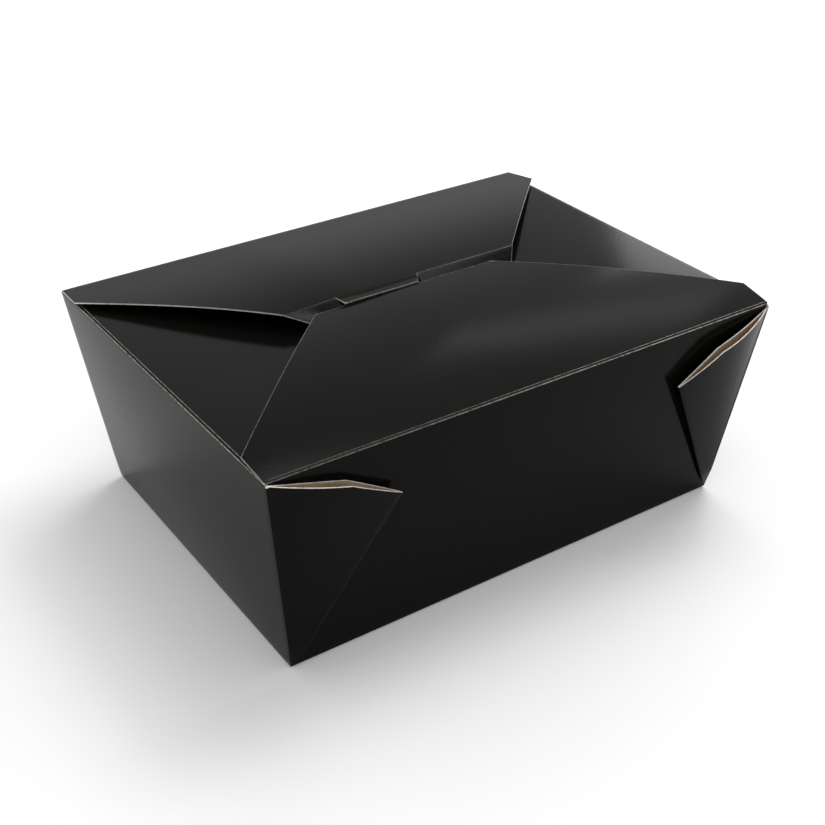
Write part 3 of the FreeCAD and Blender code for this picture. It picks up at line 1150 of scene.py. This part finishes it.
@dataclass(frozen=True)
class KraftInside:
    """Bare brown inside of the board: fibres and faint mottling."""

    dark: Colour = (0.42, 0.31, 0.20, 1.0)
    light: Colour = (0.62, 0.49, 0.35, 1.0)
    roughness: float = 0.85
    specular: float = 0.25
    fibre_scale: float = 1400.0
    fibre_stretch: Triple = (1.0, 0.25, 1.0)
    fibre_share: float = 0.6
    fibre_depth: float = 0.02 * MM
    mottle_scale: float = 90.0
    tone_range: Pair = (0.28, 0.72)

    def material(self) -> bpy.types.Material:
        """Builds the material.

        Returns:
            The material.
        """
        graph = NodeGraph("kraft_inside")
        mapping = {"Vector": graph.place, "Scale": self.fibre_stretch}
        fibres = graph.noise(self.fibre_scale, 4.0, graph.add("ShaderNodeMapping", mapping).outputs[0])
        mottle = graph.math("MULTIPLY", graph.noise(self.mottle_scale, 3.0), 1 - self.fibre_share)
        share = graph.math("MULTIPLY_ADD", fibres, self.fibre_share, mottle)
        return graph.dress(
            Base_Color=graph.blend(graph.ramp(share, *self.tone_range), self.dark, self.light),
            Roughness=self.roughness,
            Specular_IOR_Level=self.specular,
            Normal=graph.bump(fibres, self.fibre_depth),
        )


@dataclass(frozen=True)
class CutEdge:
    """Cut edge of the board: pale layered pulp, darkened here and there by the coating, and near
    black with painted shade where its mark is below 0.
    """

    pale: Colour = (0.85, 0.80, 0.73, 1.0)
    stained: Colour = (0.45, 0.40, 0.33, 1.0)
    # Near black: painted shade for cut edges that lie in shadow.
    painted_shade: Colour = (0.02, 0.02, 0.02, 1.0)
    stain_scale: float = 500.0
    stain_range: Pair = (0.5, 0.72)
    roughness: float = 0.9
    specular: float = 0.2

    def material(self) -> bpy.types.Material:
        """Builds the material.

        Returns:
            The material.
        """
        graph = NodeGraph("cut_edge")
        stains = graph.ramp(graph.noise(self.stain_scale, 4.0), *self.stain_range)
        # Marks below 0 give the share of painted shade.
        painted_shade_mark = graph.math("MULTIPLY", graph.attribute("wear_and_painted_shade"), -1.0, clamp=True)
        pulp = graph.blend(stains, self.pale, self.stained)
        return graph.dress(
            Base_Color=graph.blend(painted_shade_mark, pulp, self.painted_shade),
            Roughness=self.roughness,
            Specular_IOR_Level=self.specular,
        )


@dataclass
class TakeoutCarton:
    """The whole carton: one sheet for the tray with three of its flaps, and one for the front flap."""

    tray: FoldedTray = field(default_factory=FoldedTray)
    # The front flap's end_painted_shade darkens the cut at its end with painted shade.
    front: FlapShape = FlapShape(
        reach_to=2.5 * MM, edge_height=89.1 * MM, root_slope=8.0 * DEG, edge_slope=-3.7 * DEG,
        shoulder_depth=14.3 * MM, shoulder_flare=(1.7 * MM, 0.0), start_corner=-39.8 * MM,
        end_corner=41.3 * MM, sag=0.5 * MM, end_painted_shade=0.6,
    )
    back: FlapShape = FlapShape(
        reach_to=-6.8 * MM, edge_height=90.88 * MM, root_slope=6.5 * DEG, edge_slope=-3.5 * DEG,
        shoulder_depth=15.8 * MM, shoulder_flare=(1.2 * MM, 1.2 * MM), start_corner=-52.2 * MM,
        end_corner=53.6 * MM, sag=1.1 * MM, sag_from=(-20.0 * MM, -52.0 * MM),
    )
    left: FlapShape = FlapShape(
        reach_to=-34.0 * MM, edge_height=82.0 * MM, root_slope=-1.5 * DEG, edge_slope=-2.8 * DEG,
        shoulder_depth=1.2 * MM, shoulder_flare=(-2.0 * MM, -2.0 * MM), start_corner=-30.0 * MM,
        end_corner=30.0 * MM, rows_to_shoulder=2, rows_to_edge=30, wear=2.5,
    )
    right: FlapShape = replace(
        left, edge_height=82.8 * MM, root_slope=1.5 * DEG, edge_slope=-5.0 * DEG, wear=1.0
    )

    def build(self) -> list[bpy.types.Object]:
        """Builds both pieces, dresses them and joins the tray's piece to the carton's body.

        Returns:
            The pieces.
        """
        finishes = {
            Paint.OUTSIDE: CoatedBlack().material(),
            Paint.INSIDE: KraftInside().material(),
            Paint.CUT_EDGE: CutEdge().material(),
        }
        sheet, flap_sheet = SheetSurface(self.tray.sizes), SheetSurface(self.tray.sizes)
        self.tray.add_to(sheet)
        BackFlap(self.tray, Wall.BACK, self.back, has_free_edge=False).add_to(sheet)
        Flap(self.tray, Wall.LEFT, self.left).add_to(sheet)
        Flap(self.tray, Wall.RIGHT, self.right).add_to(sheet)
        body = sheet.build("folded_carton", finishes)
        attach(body, "carton")
        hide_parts("carton")
        front = FrontFlap(self.tray, Wall.FRONT, self.front)
        front.add_to(flap_sheet)
        flap = flap_sheet.build("front_flap_sheet", finishes)
        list(front.swing_line())
        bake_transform(flap)
        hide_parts("front_flap")
        return [body, flap]


def looked_at(tree: bpy.types.NodeTree) -> Socket:
    """1 for rays that show a background, directly, in a reflection or through glass, else 0.

    Args:
        tree: The node tree to work it out in.

    Returns:
        The number.
    """
    path = tree.nodes.new("ShaderNodeLightPath")
    total = path.outputs["Is Camera Ray"]
    for name in ("Is Glossy Ray", "Is Transmission Ray"):
        either = tree.nodes.new("ShaderNodeMath")
        either.operation = "MAXIMUM"
        tree.links.new(total, either.inputs[0])
        tree.links.new(path.outputs[name], either.inputs[1])
        total = either.outputs[0]
    return total


@dataclass(frozen=True)
class Lamp:
    """A soft rectangular lamp aimed at the carton: its place, its size and its power in watts."""

    name: str
    place: Triple
    size: Pair
    power: float
    aim: Triple = (0.0, 0.0, 0.05)

    def build(self) -> None:
        """Hangs the lamp in the scene."""
        data = bpy.data.lights.new(self.name, "AREA")
        data.shape = "RECTANGLE"
        data.size, data.size_y = self.size
        data.energy = self.power
        lamp = bpy.data.objects.new(self.name, data)
        turn = (Vector(self.aim) - Vector(self.place)).to_track_quat("-Z", "Y").to_matrix()
        lamp.matrix_world = Matrix.Translation(self.place) @ turn.to_4x4()
        bpy.context.scene.collection.objects.link(lamp)


@dataclass
class Studio:
    """Pale floor, soft lamps, white surroundings and the camera, given by its picture's three axes.

    ambient is the surroundings' strength as a light, and floor_painted_glow eases the distance from
    the carton's middle into the floor's painted glow where it is looked at, weaker near the carton,
    so the floor stays darker there, also in reflections.
    """

    ambient: float = 0.5
    white: Colour = (1.0, 1.0, 1.0, 1.0)
    lens: float = 58.891
    sensor: float = 36.0
    clip_start: float = 0.01
    eye: Triple = (-0.26195, -0.38544, 0.31916)
    right: Triple = (0.82722, -0.56187, 0.00202)
    down: Triple = (-0.29213, -0.43314, -0.85267)
    ahead: Triple = (0.47997, 0.70476, -0.52244)
    floor_reach: float = 4.0
    floor_level: float = -0.1 * MM
    floor_colour: Colour = (0.94, 0.94, 0.94, 1.0)
    floor_roughness: float = 0.9
    floor_painted_glow: Range = (0.13, 0.4, 0.1, 0.36)
    lamps: tuple[Lamp, ...] = (
        Lamp("high_key", (0.65, 0.55, 1.75), (0.9, 0.9), 9.5),
        Lamp("overhead", (-0.3, -0.3, 1.9), (1.4, 1.4), 6.0),
        Lamp("low_box", (1.31, 0.74, 0.6), (0.71, 0.48), 4.3),
        Lamp("upper_box", (0.978, 0.865, 0.99), (0.5, 0.11), 0.36),
        Lamp("strip_box", (0.856, 0.105, 1.545), (0.5, 0.45), 4.6),
    )

    def build(self) -> None:
        """Sets up camera, floor, surroundings and lamps."""
        self.camera()
        self.floor()
        self.surroundings()
        for lamp in self.lamps:
            lamp.build()

    def camera(self) -> None:
        """Places the camera."""
        data = bpy.data.cameras.new("camera")
        data.lens = self.lens
        data.sensor_width = self.sensor
        data.sensor_fit = "HORIZONTAL"
        data.clip_start = self.clip_start
        camera = bpy.data.objects.new("camera", data)
        axes = np.eye(4)
        axes[:3, 0] = self.right
        axes[:3, 1] = -np.array(self.down)
        axes[:3, 2] = -np.array(self.ahead)
        axes[:3, 3] = self.eye
        camera.matrix_world = Matrix(axes.tolist())
        bpy.context.scene.collection.objects.link(camera)
        bpy.context.scene.camera = camera

    def floor(self) -> None:
        """A wide pale floor just below the carton, with a painted glow that lifts it to white away from
        it.
        """
        reach = self.floor_reach
        around = ((-reach, -reach), (reach, -reach), (reach, reach), (-reach, reach))
        mesh = bpy.data.meshes.new("floor")
        mesh.from_pydata([(x, y, self.floor_level) for x, y in around], [], [(0, 1, 2, 3)])
        graph = NodeGraph("pale_floor")
        away = graph.add("ShaderNodeVectorMath", {0: graph.place}, operation="LENGTH").outputs["Value"]
        # Painted glow of the floor, seen directly and in reflections, weaker near the carton.
        painted_floor_light = graph.math("MULTIPLY", looked_at(graph.tree), graph.ramp(away, *self.floor_painted_glow))
        mesh.materials.append(graph.dress(
            Base_Color=self.floor_colour, Roughness=self.floor_roughness, Specular_IOR_Level=0.0,
            Emission_Color=self.white, Emission_Strength=painted_floor_light,
        ))
        floor = bpy.data.objects.new("floor", mesh)
        bpy.context.scene.collection.objects.link(floor)

    def surroundings(self) -> None:
        """White as a background and in reflections, softer as light."""
        world = bpy.data.worlds.new("surroundings")
        bpy.context.scene.world = world
        world.use_nodes = True
        tree = world.node_tree
        background = tree.nodes["Background"]
        level = tree.nodes.new("ShaderNodeMapRange")
        level.inputs["To Min"].default_value = self.ambient
        level.inputs["To Max"].default_value = 1.0
        tree.links.new(looked_at(tree), level.inputs["Value"])
        tree.links.new(level.outputs["Result"], background.inputs["Strength"])
        background.inputs["Color"].default_value = self.white


def main() -> None:
    """Builds the carton and the studio."""
    logging.basicConfig(level=logging.INFO, format="%(name)s: %(message)s")
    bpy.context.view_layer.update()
    bpy.context.scene.view_settings.view_transform = "Standard"
    for piece in TakeoutCarton().build():
        LOG.info("built %s: %d faces", piece.name, len(piece.data.polygons))
    Studio().build()
    LOG.info("studio ready")


if __name__ == "__main__":
    main()
